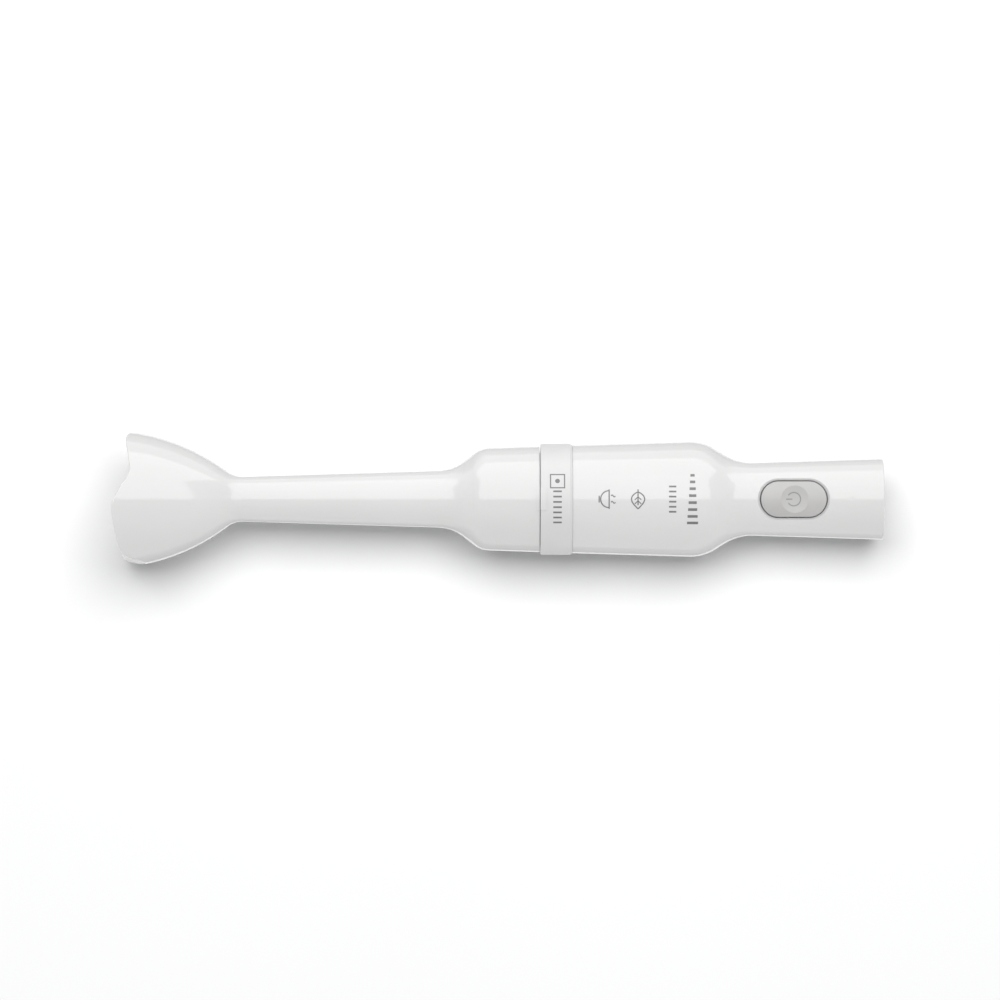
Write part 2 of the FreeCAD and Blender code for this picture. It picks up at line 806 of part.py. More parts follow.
# ---------------------------------------------------------------- motor
def make_motor_shaft():
    start = socket_start + socket_floor + dog_tip_gap + 2.0 + fit_gap
    parts["motor_shaft"] = disc(start, motor_shaft_end, motor_shaft_radius)


def make_fan():
    """Radial fan, its blades standing on a back plate."""
    end = fan_start + fan_length
    fan = disc(end - 1.2, end, fan_radius).fuse(disc(fan_start, end, 6.0))
    blades = []
    for i in range(fan_blades):
        blade = block(fan_start, end - 0.6, -0.5, 0.5, 4.5, fan_radius)
        blade.rotate(Vector(0, 0, 5), AXIS, 24)
        blades.append(spun(blade, 360.0 * i / fan_blades))
    fan = fan.fuse(blades).common(disc(fan_start, end, fan_radius))
    parts["cooling_fan"] = fan.cut(disc(fan_start - 1, end + 1, motor_shaft_radius + fit_gap))


def bearing(start):
    """Deep-groove ball bearing with its shield recessed on both sides."""
    end = start + bearing_width
    body = ring(start, end, motor_shaft_radius + fit_gap, bearing_radius)
    for face in (start - 1, end - 0.5):
        body = body.cut(ring(face, face + 1.5, motor_shaft_radius + 2.0, bearing_radius - 1.8))
    return body


def bolt_places():
    return [(y * bolt_offset, z * bolt_offset) for y in (-1, 1) for z in (-1, 1)]


def along_axis(start, end, y, z, radius):
    return Part.makeCylinder(radius, end - start, Vector(start, y, z), AXIS)


def make_lower_bracket():
    start = lower_bracket_start
    end = start + bracket_thickness
    boss_end = lower_bearing_start + bearing_width + 0.9
    plate = disc(start, end, stator_corner_radius)
    plate = plate.fuse(disc(lower_bearing_start, boss_end, bearing_radius + 1.8))
    windows = around(block(start - 1, end + 1, -4.5, 4.5, 13.4, 19.6), 4)
    posts = [along_axis(end, stack_start, y, z, 2.1) for y, z in bolt_places()]
    plate = plate.cut(windows).fuse(posts)
    holes = [along_axis(start - 1, stack_start + 1, y, z, bolt_radius + fit_gap) for y, z in bolt_places()]
    seat = disc(lower_bearing_start - 1, lower_bearing_start + bearing_width, bearing_radius + fit_gap)
    bore = disc(start, boss_end + 1, motor_shaft_radius + 1.0)
    parts["lower_bracket"] = plate.cut(holes + [seat, bore]).removeSplitter()
    parts["lower_bearing"] = bearing(lower_bearing_start)


def upper_bearing_start():
    return upper_bracket_start + 0.6


def brush_station():
    return (commutator_start + commutator_end) / 2 - 0.4


def make_upper_bracket():
    start = upper_bracket_start
    end = start + bracket_thickness
    boss_end = upper_bearing_start() + bearing_width + 0.5
    plate = disc(start, end, stator_corner_radius)
    plate = plate.fuse(disc(start, boss_end, bearing_radius + 1.8))
    posts = [along_axis(stack_end, start, y, z, 2.1) for y, z in bolt_places()]
    holder_end = brush_station() + brush_width / 2 + brush_holder_wall
    tab = brush_tab_y()
    pads = [
        block(holder_end, start + 0.5, *sorted((side * (tab - 6.0), side * (tab - 0.3))), -3.4, 3.4)
        for side in (-1, 1)
    ]
    plate = plate.cut(around(block(start - 1, end + 1, -4, 4, 13.0, 18.5), 2)).fuse(posts + pads)
    holes = [along_axis(stack_end - 1, end + 1, y, z, bolt_radius + fit_gap) for y, z in bolt_places()]
    slots = [
        block(start - 3, end + 1, *sorted((side * (tab - 0.3), side * (tab + 1.1))), -2.4, 2.4)
        for side in (-1, 1)
    ]
    seat = disc(upper_bearing_start(), boss_end + 1, bearing_radius + fit_gap)
    bore = disc(start - 1, start + 2, motor_shaft_radius + 1.0)
    parts["upper_bracket"] = plate.cut(holes + slots + [seat, bore]).removeSplitter()
    parts["upper_bearing"] = bearing(upper_bearing_start())


def make_motor_damper():
    """Rubber ring between the upper bracket and the housing."""
    start = upper_bracket_start + 0.3
    end = upper_bracket_start + bracket_thickness - 0.3
    outer = min(radius_at(body_inside, start), radius_at(body_inside, end)) - fit_gap
    parts["motor_damper"] = ring(start, end, stator_corner_radius + fit_gap, outer)


def make_stator():
    half = stator_width / 2
    core = centred_block(stack_start, stack_end, stator_width, -half, half)
    core = core.common(disc(stack_start, stack_end, stator_corner_radius))
    y0, y1, height = stator_window
    windows = [
        block(stack_start - 1, stack_end + 1, *sorted((side * y0, side * y1)), -height, height)
        for side in (-1, 1)
    ]
    holes = [
        along_axis(stack_start - 1, stack_end + 1, y, z, bolt_radius + fit_gap) for y, z in bolt_places()
    ]
    core = core.cut(windows + holes + [disc(stack_start - 1, stack_end + 1, stator_bore)])
    notch = block(stack_start - 1, stack_end + 1, -1.2, 1.2, half - 0.8, half + 1)
    parts["stator_core"] = core.cut([notch, spun(notch, 180)])


def make_field_coils():
    """Two saddle coils, one round each pole of the stator."""
    y0, y1, height = stator_window
    inner_y = y0 + 0.2
    outer_y = y1 - 0.2
    turn = outer_y - inner_y
    end_gap = 0.3
    low = 5.0
    high = height - 0.2
    end_high = 16.4
    end_half = 12.2
    start = stack_start - end_gap
    end = stack_end + end_gap
    loop = block(start - turn, end + turn, -outer_y, outer_y, low, high)
    loop = loop.cut(block(start, end, -inner_y, inner_y, low - 1, high + 1))
    corners = [e for e in loop.Edges if abs(e.tangentAt(e.FirstParameter).z) > 0.99]
    outer_corners = [e for e in corners if abs(e.CenterOfMass.y) > outer_y - 0.1]
    loop = loop.makeFillet(turn * 0.8, outer_corners)
    ends = [
        block(start - turn, start, -end_half, end_half, low, end_high),
        block(end, end + turn, -end_half, end_half, low, end_high),
    ]
    ends = [e.makeFillet(1.2, [k for k in e.Edges if k.CenterOfMass.z > end_high - 0.1]) for e in ends]
    coil_solid = loop.fuse(ends).cut(disc(start - turn - 1, end + turn + 1, stator_bore + 0.1))
    parts["field_coils"] = group([coil_solid, spun(coil_solid, 180)])


def make_armature():
    radius = stator_bore - air_gap
    core = disc(stack_start, stack_end, radius)
    slot = block(stack_start - 1, stack_end + 1, -0.7, 0.7, radius - 1.6, radius + 1)
    parts["armature_core"] = core.cut(
        around(slot, armature_slots) + [disc(0, handle_end, motor_shaft_radius + fit_gap)]
    )
    solids = []
    for start in (stack_start - fit_gap - winding_length, stack_end + fit_gap):
        bundle = ring(start, start + winding_length, motor_shaft_radius + 1.5, winding_radius)
        bundle = bundle.makeFillet(1.6, [e for e in bundle.Edges if e.Length > 6 * winding_radius])
        groove = block(start - 1, start + winding_length + 1, -0.35, 0.35, winding_radius - 1.0, 20)
        solids.append(bundle.cut(around(groove, armature_slots, 15)))
    parts["armature_windings"] = group(solids)


def make_commutator():
    body = disc(commutator_start, commutator_end, commutator_radius)
    riser = disc(commutator_start - 1.4, commutator_start, commutator_radius + 1.2)
    slit = block(commutator_start - 2, commutator_end + 1, -0.2, 0.2, commutator_radius - 0.8, 20)
    body = body.fuse(riser).cut(around(slit, commutator_bars))
    sleeve = disc(stack_end + winding_length + 0.2, commutator_start, motor_shaft_radius + 2.0)
    bore = disc(0, handle_end, motor_shaft_radius + fit_gap)
    parts["commutator"] = body.fuse(sleeve).cut(bore)


def brush_tab_y():
    return commutator_radius + 0.8 + brush_holder_length - 1.6


def make_brushes():
    middle = brush_station()
    holders = []
    brushes = []
    springs = []
    back = commutator_radius + 0.8 + brush_holder_length
    for side in (1, -1):
        x0 = middle - brush_width / 2
        x1 = middle + brush_width / 2
        half = brush_height / 2
        gap = 0.15
        wall = brush_holder_wall
        tube = block(x0 - wall, x1 + wall, commutator_radius + 0.8, back, -half - wall, half + wall)
        tube = tube.cut(block(x0 - gap, x1 + gap, 0, back - 1.2, -half - gap, half + gap))
        tab = block(x1 + wall - 0.1, upper_bracket_start + 7, brush_tab_y(), brush_tab_y() + 0.8, -2, 2)
        brush = block(x0, x1, 0, commutator_radius + brush_length, -half, half)
        brush = brush.cut(disc(0, handle_end, commutator_radius + fit_gap))
        spring_start = Vector(middle, commutator_radius + brush_length + 0.03, 0)
        spring_room = back - 1.2 - commutator_radius - brush_length - 0.06
        spring = coil(spring_start, Vector(0, 1, 0), spring_room, *brush_spring)
        turn = 0 if side > 0 else 180
        holders.append(spun(tube.fuse(tab), turn))
        brushes.append(spun(brush, turn))
        springs.append(spun(spring, turn))
    parts["brush_holders"] = group(holders)
    parts["carbon_brushes"] = group(brushes)
    parts["brush_springs"] = group(springs)


def make_motor_bolts():
    end = upper_bracket_start + bracket_thickness
    bolts = []
    for y, z in bolt_places():
        bolt = along_axis(lower_bracket_start + 0.2, end, y, z, bolt_radius)
        head = along_axis(end + fit_gap, end + 2.0, y, z, 2.2)
        slot = block(end + 1.2, end + 3, y - 3, y + 3, z - 0.3, z + 0.3)
        bolts.append(bolt.fuse(along_axis(end - 0.1, end + 1, y, z, bolt_radius)).fuse(head).cut(slot))
    parts["motor_bolts"] = group(bolts)


# ---------------------------------------------------------------- motor unit housing
def button_opening(growth, z0, z1):
    return stadium(button_station, button_length + 2 * growth, button_width + 2 * growth, z0, z1)


def screw_posts(half):
    """Hollow posts inside one half shell (+1 front, -1 back) that the screws draw together."""
    posts = []
    holes = []
    for station in screw_stations:
        reach = grip_at(station)
        if half > 0:
            posts.append(upright(station, 0, screw_split + seam_gap / 2, reach, screw_post))
            holes.append(upright(station, 0, screw_split - 1, 4, screw_radius + fit_gap))
        else:
            posts.append(upright(station, 0, -reach, screw_split - seam_gap / 2, screw_post))
            holes.append(upright(station, 0, -reach - 1, screw_split + 1, screw_radius + 0.25))
            sink = -reach + 3.2
            holes.append(upright(station, 0, -reach - 3, sink, screw_head + 0.3))
    return posts, holes


def housing_shell():
    end = (handle_end, grip_end_radius, end_round)
    outer = turned(body_outline[:-1] + [end, (handle_end, grip_end_radius - 1.5)])
    lip = ring(spigot_start, body_start + 2, spigot_radius() - spigot_wall, spigot_radius())
    inner = turned(body_inside)
    throat = disc(spigot_start - 1, body_start + 1, spigot_radius() - spigot_wall)
    mouth = disc(cap_start - 1, handle_end + 1, cap_bore)
    groove = disc(cap_start, cap_start + cap_flange[0], cap_bore + cap_flange[1])
    return outer.fuse(lip).cut([inner, throat, mouth, groove])


def exhaust_slots():
    """Row of air outlets low on the back, over the fan end of the motor."""
    slot = stadium(body_start + 9.0, 10.0, 2.0, -2 * rim_radius, 0)
    return [spun(slot, angle) for angle in (-30, -18, -6, 6, 18, 30)]


def make_housing():
    shell = housing_shell()
    for name, half in (("housing_front", 1), ("housing_back", -1)):
        far = 2 * rim_radius
        low, high = (seam_gap / 2, far) if half > 0 else (-far, -seam_gap / 2)
        piece = shell.common(block(0, handle_end + 10, -far, far, low, high))
        posts, holes = screw_posts(half)
        room = turned(body_outline)
        piece = piece.fuse([p.common(room) for p in posts]).cut(holes)
        if half > 0:
            piece = piece.cut(button_opening(button_gap, 0, far))
            rim = [
                e for e in piece.Edges
                if on_button_rim(e)
            ]
            piece = piece.makeChamfer(opening_chamfer, rim)
        else:
            piece = piece.cut(exhaust_slots())
        parts[name] = piece.removeSplitter()


def on_button_rim(edge):
    """True for the outer edges of the button's opening."""
    near = abs(edge.CenterOfMass.x - button_station) < button_length / 2 + 1
    if not near:
        return False
    for i in range(5):
        at = edge.FirstParameter + (edge.LastParameter - edge.FirstParameter) * i / 4
        p = edge.valueAt(at)
        on_skin = abs(math.hypot(p.y, p.z) - grip_at(p.x)) < 0.02
        across = abs(p.y) < button_width / 2 + button_gap + 0.01
        along = abs(p.x - button_station) < button_length / 2 + button_gap + 0.01
        if not (on_skin and across and along and p.z > 5):
            return False
    return True


def make_housing_screws():
    screws = []
    for station in screw_stations:
        base = -grip_at(station) + 3.2
        head = upright(station, 0, base - screw_head_height, base - fit_gap, screw_head)
        shank = upright(station, 0, base - 0.5, 2.0, screw_radius)
        recess = centred_block(station - 1.6, station + 1.6, 0.6, base - screw_head_height - 1, base - 0.9)
        cross = centred_block(station - 0.3, station + 0.3, 3.2, base - screw_head_height - 1, base - 0.9)
        screws.append(head.fuse(shank).cut([recess, cross]))
    parts["housing_screws"] = group(screws)


def make_end_cap():
    outer = cap_bore - fit_gap
    spigot = ring(cap_start + fit_gap, cap_end - 1, outer - 1.6, outer)
    low, high = cap_start + fit_gap, cap_start + cap_flange[0] - fit_gap
    flange = ring(low, high, outer - 1, outer + cap_flange[1])
    plate = disc(cap_end - cap_plate, cap_end, outer)
    vent = stadium_across(vent_reach, vent_width)
    cap = plate.fuse([spigot, flange]).cut(around(vent, vent_count, 18))
    bore = disc(handle_end - 10, handle_end + 1, gland_radius + fit_gap)
    sleeve = ring(handle_end - 8, handle_end - 1, gland_radius + 0.6, gland_radius + 2.0)
    cap = cap.cut(bore).fuse(sleeve).cut(bore)
    parts["end_cap"] = cap.removeSplitter()


def stadium_across(reach, width):
    """Radial slot through the end cap."""
    near, far = reach
    slot = block(handle_end - 10, handle_end + 1, -width / 2, width / 2, near, far)
    ends = [along_axis(handle_end - 10, handle_end + 1, 0, z, width / 2) for z in reach]
    return slot.fuse(ends)


def make_cord_gland():
    """Bush that the mains cord enters through."""
    start = handle_end - gland_length
    gland = disc(start, handle_end, gland_radius)
    gland = gland.fuse(disc(start, start + gland_flange, gland_radius + 1.8))
    parts["cord_gland"] = gland.cut(disc(start - 1, handle_end + 1, gland_bore))


# ---------------------------------------------------------------- button, switch and board
def button_top():
    """Height of the button's skin over the axis."""
    return grip_at(button_station) + button_proud


def flange_base():
    return button_top() - button_skin - 3.4


def make_power_button():
    far = 2 * rim_radius
    base = flange_base()
    body = button_opening(0, base, far)
    cover = turned([(x, r + button_proud) for x, r in skin_points()])
    body = body.common(cover)
    skin = max(body.Faces, key=lambda f: f.CenterOfMass.z)
    body = body.makeFillet(0.45, skin.OuterWire.Edges)
    well = button_opening(-1.5, base - 1, base + well_height)
    flange = button_opening(button_flange, base, base + button_flange)
    flange = flange.common(turned(parallel(body_inside, 0.2)))
    stem = centred_block(
        button_station - stem_size[0] / 2, button_station + stem_size[0] / 2, stem_size[1],
        plunger_top() + 0.05, base + 3,
    )
    button = body.fuse(flange).cut(well).fuse(stem).cut(thumb_dimple())
    pegs = [
        upright(button_station + side * spring_spacing / 2, 0, base - 0.3, base + 3, spring_radius - 0.6)
        for side in (-1, 1)
    ]
    parts["power_button"] = button.fuse(pegs).removeSplitter()


def is_upright(edge):
    ends = [v.Point for v in edge.Vertexes]
    return len(ends) == 2 and ends[0].sub(ends[1]).Length > 0 and abs(
        (ends[0].z - ends[1].z) / ends[0].sub(ends[1]).Length
    ) > 0.99


def skin_points():
    """The handle's straight taper over the button, as two points."""
    half = button_length / 2 + 4
    return [(x, grip_at(x)) for x in (button_station - half, button_station + half)]


def thumb_dimple():
    """Cutter for a dimple that is round on the button's curved skin."""
    along = dimple_radius ** 2 / (2 * dimple_depth)
    across = 1 / (1 / along - 1 / button_top())
    centre = Vector(button_station, 0, button_top() - dimple_depth + across)
    return Part.makeTorus(across - along, along, centre, AXIS)


def plunger_top():
    return switch_seat + switch_size[2] + plunger_height


def make_switch():
    length, width, height = switch_size
    base = switch_seat
    body = centred_block(button_station - length / 2, button_station + length / 2, width, base, base + height)
    body = body.makeFillet(0.5, [e for e in body.Edges if is_upright(e)])
    guide = upright(button_station, 0, base + height - 3, base + height + 1, plunger_radius + fit_gap)
    pins = [
        centred_block(button_station + k * 4.5 - 0.4, button_station + k * 4.5 + 0.4, 3.0, base - 5.2, base + 0.1)
        for k in (-1, 0, 1)
    ]
    parts["switch_body"] = body.cut(guide).fuse(pins)
    plunger = upright(button_station, 0, base + height - 1.2, plunger_top(), plunger_radius)
    parts["switch_plunger"] = plunger.makeFillet(0.35, [plunger.Edges[0]])


def post_top():
    return flange_base() - 5.0


def make_switch_tray():
    """Moulded tray across the handle: switch and spring posts above, board clipped below."""
    start, end = carrier_tray
    top = switch_seat - fit_gap
    bottom = top - tray_thickness
    half = math.sqrt(radius_at(body_inside, start) ** 2 - 4.0 ** 2) - 0.4
    tray = block(start, end, -half, half, bottom, top)
    posts = [
        upright(button_station + side * spring_spacing / 2, 0, top - 0.2, post_top(), spring_radius + 0.7)
        for side in (-1, 1)
    ]
    posts += [
        upright(button_station + side * spring_spacing / 2, 0, top, post_top() + 1.2, spring_radius - 0.6)
        for side in (-1, 1)
    ]
    legs = [
        block(x, x + 1.4, side * 9.5 - 1.0, side * 9.5 + 1.0, board_top() - 2.4, bottom + 0.2)
        for x in (start + 1, end - 3) for side in (-1, 1)
    ]
    walls = [
        block(button_station - 8, button_station + 8, *sorted((side * 3.1, side * 4.3)), top - 0.2, top + 4)
        for side in (-1, 1)
    ]
    slots = [
        centred_block(button_station + k * 4.5 - 0.9, button_station + k * 4.5 + 0.9, 3.8, bottom - 1, top + 1)
        for k in (-1, 0, 1)
    ]
    tray = tray.cut(slots).fuse(posts + legs + walls)
    board_room = block(start + 1.6, end - 1.8, -9.4, 9.4, board_top() - 1.8, board_top() + 0.1)
    parts["switch_tray"] = tray.cut(board_room).removeSplitter()


def board_top():
    return switch_seat - tray_thickness - 2.6


def make_board():
    start, end = carrier_tray
    top = board_top()
    board = block(start + 1.8, end - 2.0, -9.2, 9.2, top - 1.6, top)
    holes = [
        centred_block(button_station + k * 4.5 - 0.7, button_station + k * 4.5 + 0.7, 3.4, top - 3, top + 1)
        for k in (-1, 0, 1)
    ]
    parts["circuit_board"] = board.cut(holes)
    under = top - 1.6 - fit_gap
    capacitor = block(start + 4, start + 17, -5.5, 5.5, under - 6.0, under)
    capacitor = capacitor.makeFillet(0.6, [e for e in capacitor.Edges if is_upright(e)])
    parts["noise_capacitor"] = capacitor
    choke_x = end - 9
    core = upright(choke_x, 0, under - 6.4, under, 4.4)
    core = core.cut(upright(choke_x, 0, under - 7, under - 1.2, 1.8))
    core = core.cut([ring_upright(choke_x, under - 5.2, under - 1.4, 3.7, 5)])
    parts["noise_choke"] = core
    diodes = []
    for y in (-6.4, 6.4):
        body = Part.makeCylinder(1.3, 5.0, Vector(end - 21, y, under - 1.4), AXIS)
        legs = [block(end - 21.9 + k, end - 21.3 + k, y - 0.3, y + 0.3, under - 1.7, under) for k in (0, 6.2)]
        wires = Part.makeCylinder(0.3, 6.9, Vector(end - 21.95, y, under - 1.4), AXIS)
        diodes.append(body.fuse([wires] + legs))
    parts["rectifier_diodes"] = group(diodes)


def ring_upright(station, z0, z1, inner, outer):
    return upright(station, 0, z0, z1, outer).cut(upright(station, 0, z0, z1, inner))


def make_button_springs():
    springs = [
        coil(
            Vector(button_station + side * spring_spacing / 2, 0, post_top() + 0.03), Vector(0, 0, 1),
            flange_base() + well_height - post_top() - 0.06, spring_radius, spring_wire, spring_turns,
        )
        for side in (-1, 1)
    ]
    parts["button_springs"] = group(springs)


def make_motor_leads():
    """Two insulated wires from the board to the brush terminals."""
    radius = 0.9
    leads = []
    terminal = upper_bracket_start + 7
    board_start = carrier_tray[0] + 1.8
    for side in (-1, 1):
        low = board_top() - 0.8
        tab = side * (brush_tab_y() + 0.4)
        route = [
            Vector(board_start - 0.05, side * 6, low),
            Vector(board_start - 7, side * 6, low),
            Vector(terminal + 11, side * 12.5, -0.8),
            Vector(terminal + 5, tab, 0),
            Vector(terminal + 0.05, tab, 0),
        ]
        leads.append(bent_rod(route, 4.0, radius))
    parts["motor_leads"] = group(leads)


def bent_rod(route, bend, radius):
    """Round rod along straight runs joined by tangent arcs."""
    edges = []
    last = route[0]
    for before, corner, after in zip(route, route[1:], route[2:]):
        back = before.sub(corner).normalize()
        ahead = after.sub(corner).normalize()
        half = back.getAngle(ahead) / 2
        run = bend / math.tan(half)
        start = corner + back * run
        end = corner + ahead * run
        middle = (back + ahead).normalize()
        top = corner + middle * (bend / math.sin(half) - bend)
        edges.append(Part.makeLine(last, start))
        edges.append(Part.Arc(start, top, end).toShape())
        last = end
    edges.append(Part.makeLine(last, route[-1]))
    path = Part.Wire(edges)
    section = Part.Wire(Part.makeCircle(radius, route[0], route[1].sub(route[0])))
    return path.makePipeShell([section], True, True)


# ---------------------------------------------------------------- build and export
def build():
    make_bar_shell()
    make_blade_seal()
    make_bushes()
    make_bar_head()
    make_drive_shaft()
    make_shaft_washers()
    make_shaft_clips()
    make_blade()
    make_blade_hub()
    make_blade_rivet()
    make_drive_socket()
    make_drive_dog()
    make_coupling_neck()
    make_collar()
    make_release_button()
    make_latch_spring()
    make_motor_shaft()
    make_fan()
    make_lower_bracket()
    make_upper_bracket()
    make_motor_damper()
    make_stator()
    make_field_coils()
    make_armature()
    make_commutator()
    make_brushes()
    make_motor_bolts()
    make_housing()
    make_housing_screws()
    make_end_cap()
    make_cord_gland()
    make_power_button()
    make_switch()
    make_switch_tray()
    make_board()
    make_button_springs()
    make_motor_leads()


def export():
    os.makedirs("parts", exist_ok=True)
    shift = Vector(-(rim_tips + handle_end) / 2, 0, axis_height)
    for name, shape in parts.items():
        placed = shape.copy()
        placed.translate(shift)
        solids = placed.Solids
        whole = solids[0] if len(solids) == 1 else Part.makeCompound(solids)
        whole.exportStep(os.path.join("parts", name + ".step"))
        sound = all(s.isValid() and s.Volume > 0 for s in solids)
        print(name, "solids", len(solids), "volume", round(whole.Volume, 1), "sound" if sound else "BROKEN")


build()
export()
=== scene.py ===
"""Looks of the stick blender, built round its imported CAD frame. Metres, +Z up.

The blender lies on its back on a white table and is seen from straight above.
"""

import json
import math

import bmesh
import bpy
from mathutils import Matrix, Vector


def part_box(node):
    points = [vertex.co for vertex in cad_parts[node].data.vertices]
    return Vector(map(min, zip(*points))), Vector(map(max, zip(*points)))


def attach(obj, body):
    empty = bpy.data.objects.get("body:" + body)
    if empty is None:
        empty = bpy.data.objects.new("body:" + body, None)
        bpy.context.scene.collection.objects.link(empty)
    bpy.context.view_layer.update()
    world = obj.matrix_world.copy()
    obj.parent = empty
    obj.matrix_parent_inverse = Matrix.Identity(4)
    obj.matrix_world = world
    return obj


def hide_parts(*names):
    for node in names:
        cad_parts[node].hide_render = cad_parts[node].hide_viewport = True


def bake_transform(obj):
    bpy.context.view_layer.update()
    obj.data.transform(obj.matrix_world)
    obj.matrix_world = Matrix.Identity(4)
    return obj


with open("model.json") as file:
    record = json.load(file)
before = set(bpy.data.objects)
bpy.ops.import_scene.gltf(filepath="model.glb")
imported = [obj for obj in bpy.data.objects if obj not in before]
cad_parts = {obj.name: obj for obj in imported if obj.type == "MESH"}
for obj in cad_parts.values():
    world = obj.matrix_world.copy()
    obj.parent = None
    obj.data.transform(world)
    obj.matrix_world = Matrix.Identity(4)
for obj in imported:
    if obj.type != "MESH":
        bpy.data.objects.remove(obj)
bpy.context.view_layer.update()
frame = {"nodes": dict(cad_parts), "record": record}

MM = 0.001

# ---------------------------------------------------------------- places, from the frame
RECORD_JOINTS = {j["name"]: j for j in frame["record"]["behaviour"]["joints"]}
AXIS_Z = RECORD_JOINTS["rotor_spin"]["pos_m"][2]   # the blender's long axis lies along X
BELL_TIP_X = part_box("bar_shell")[0][0]
COLLAR_LOW, COLLAR_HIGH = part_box("collar_ring")
BUTTON_LOW, BUTTON_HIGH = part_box("power_button")

# ---------------------------------------------------------------- camera and light
CAMERA_HEIGHT = 3.0              # above the blender's axis
VIEW_WIDTH = 0.475               # what the picture spans at the axis
VIEW_CENTRE = (0.00055, -0.0004)
SENSOR = 36.0                    # width, in the camera's own millimetres
CLIP_START = 0.05                # in front of the camera

TABLE_SIZE = 6.0
TABLE_GAP = 0.2 * MM             # under the blender, so that nothing is cut by the table
BELL_STATIONS = range(1, 30)     # mm behind the bell's tips, where its rim may touch the table
BODY_STATIONS = range(240, 290)  # and where the motor body may

ROOM = 3.4                       # height and reach of the soft light panels
PANEL_LENGTH = 10 * ROOM         # along X
WORLD_LIGHT = 0.30               # radiance of each source, white table = about 1
PANEL_LIGHT = 0.95               # overhead and on the +Y side, on the blender alone
SIDE_FOOT = -0.5 * ROOM          # the side panel's lower edge, in the gloss alone below the table
FILL_LIGHT = 0.55                # on the -Y side, on the blender alone
FILL_FOOT = -0.65 * ROOM         # the fill's lower edge, likewise
SHEEN_LIGHT = 1.75               # seen only in the plastic's gloss
SHEEN_LENGTH = 2.3 * ROOM
SHEEN_STEP = 0.04                # in front of the panels
EDGE_LIGHT = 0.75                # seen only in the gloss, at the lower silhouette
EDGE_DEPTH = 1.0                 # below the table
EDGE_ANGLE = 26                  # degrees either side of straight down that it spans
TABLE_LIGHT = 6.2                # on the table alone
TABLE_LIGHT_ANGLES = (4, 38)     # degrees from straight up towards +Y that it spans
TABLE_LIGHT_LENGTH = 1.0 * ROOM

# ---------------------------------------------------------------- print
PRINT_LIFT = 0.03 * MM           # height of the ink over the plastic
PRINT_THICKNESS = 0.02 * MM
PRINT_STEP = 0.25 * MM           # length of a ribbon's pieces, so that it follows the skin
WELD = 0.002 * MM                # corners nearer than this are one
LINE = 0.55 * MM                 # stroke of the pictograms
FINE_LINE = 0.8 * LINE
SKIN_ANGLE = 24                  # degrees from straight up at which the round skin is measured

OUTSIDE = 0.08                   # from the axis, beyond every skin
ABOVE = 0.2                      # beyond every skin straight up
BELOW = 0.05                     # beyond every skin straight down


# ================================================================ materials
def new_material(name):
    """Material with its nodes, links and shader."""
    material = bpy.data.materials.new(name)
    material.use_nodes = True
    nodes = material.node_tree.nodes
    return material, nodes, material.node_tree.links, nodes["Principled BSDF"]


def object_noise(nodes, links, scale, detail=3.0, roughness=0.5, stretch=(1, 1, 1)):
    """Noise in the object's own coordinates."""
    place = nodes.new("ShaderNodeTexCoord")
    mapping = nodes.new("ShaderNodeMapping")
    mapping.inputs["Scale"].default_value = stretch
    noise = nodes.new("ShaderNodeTexNoise")
    noise.inputs["Scale"].default_value = scale
    noise.inputs["Detail"].default_value = detail
    noise.inputs["Roughness"].default_value = roughness
    links.new(place.outputs["Object"], mapping.inputs["Vector"])
    links.new(mapping.outputs["Vector"], noise.inputs["Vector"])
    return noise.outputs["Fac"]


def ramp(nodes, links, source, stops):
    """Colour ramp with (position, colour) stops."""
    node = nodes.new("ShaderNodeValToRGB")
    elements = node.color_ramp.elements
    for element, (at, colour) in zip(elements, (stops[0], stops[-1])):
        element.position = at
        element.color = (*colour, 1)
    for at, colour in stops[1:-1]:
        elements.new(at).color = (*colour, 1)
    links.new(source, node.inputs["Fac"])
    return node.outputs["Color"]


def scaled(nodes, links, source, low, high):
    """Source's 0 to 1 spread over low to high."""
    node = nodes.new("ShaderNodeMapRange")
    node.inputs["To Min"].default_value = low
    node.inputs["To Max"].default_value = high
    links.new(source, node.inputs["Value"])
    return node.outputs["Result"]


def bump(nodes, links, shader, sources):
    """Chain of bumps, each (height, strength, distance)."""
    last = None
    for height, strength, distance in sources:
        node = nodes.new("ShaderNodeBump")
        node.inputs["Strength"].default_value = strength
        node.inputs["Distance"].default_value = distance
        links.new(height, node.inputs["Height"])
        if last is not None:
            links.new(last, node.inputs["Normal"])
        last = node.outputs["Normal"]
    links.new(last, shader.inputs["Normal"])


def gloss_plastic(name, pale, dark, rough):
    """Injection-moulded gloss ABS: faint flow marks, a slight ripple, fine wear in the gloss."""
    material, nodes, links, shader = new_material(name)
    flow = object_noise(nodes, links, 22, 2.5, 0.55, (0.35, 1, 1))
    tint = ramp(nodes, links, flow, [(0.35, dark), (0.65, pale)])
    links.new(tint, shader.inputs["Base Color"])
    wear = object_noise(nodes, links, 420, 4, 0.65, (0.25, 1, 1))
    links.new(scaled(nodes, links, wear, rough - 0.03, rough + 0.05), shader.inputs["Roughness"])
    shader.inputs["IOR"].default_value = 1.53
    shader.inputs["Subsurface Weight"].default_value = 0.12
    shader.inputs["Subsurface Radius"].default_value = (1.0, 0.95, 0.85)
    shader.inputs["Subsurface Scale"].default_value = 0.0012
    ripple = object_noise(nodes, links, 160, 1.5, 0.4)
    grain = object_noise(nodes, links, 2600, 1, 0.5)
    bump(nodes, links, shader, [(ripple, 0.05, 0.0004), (grain, 0.03, 0.00004)])
    return material


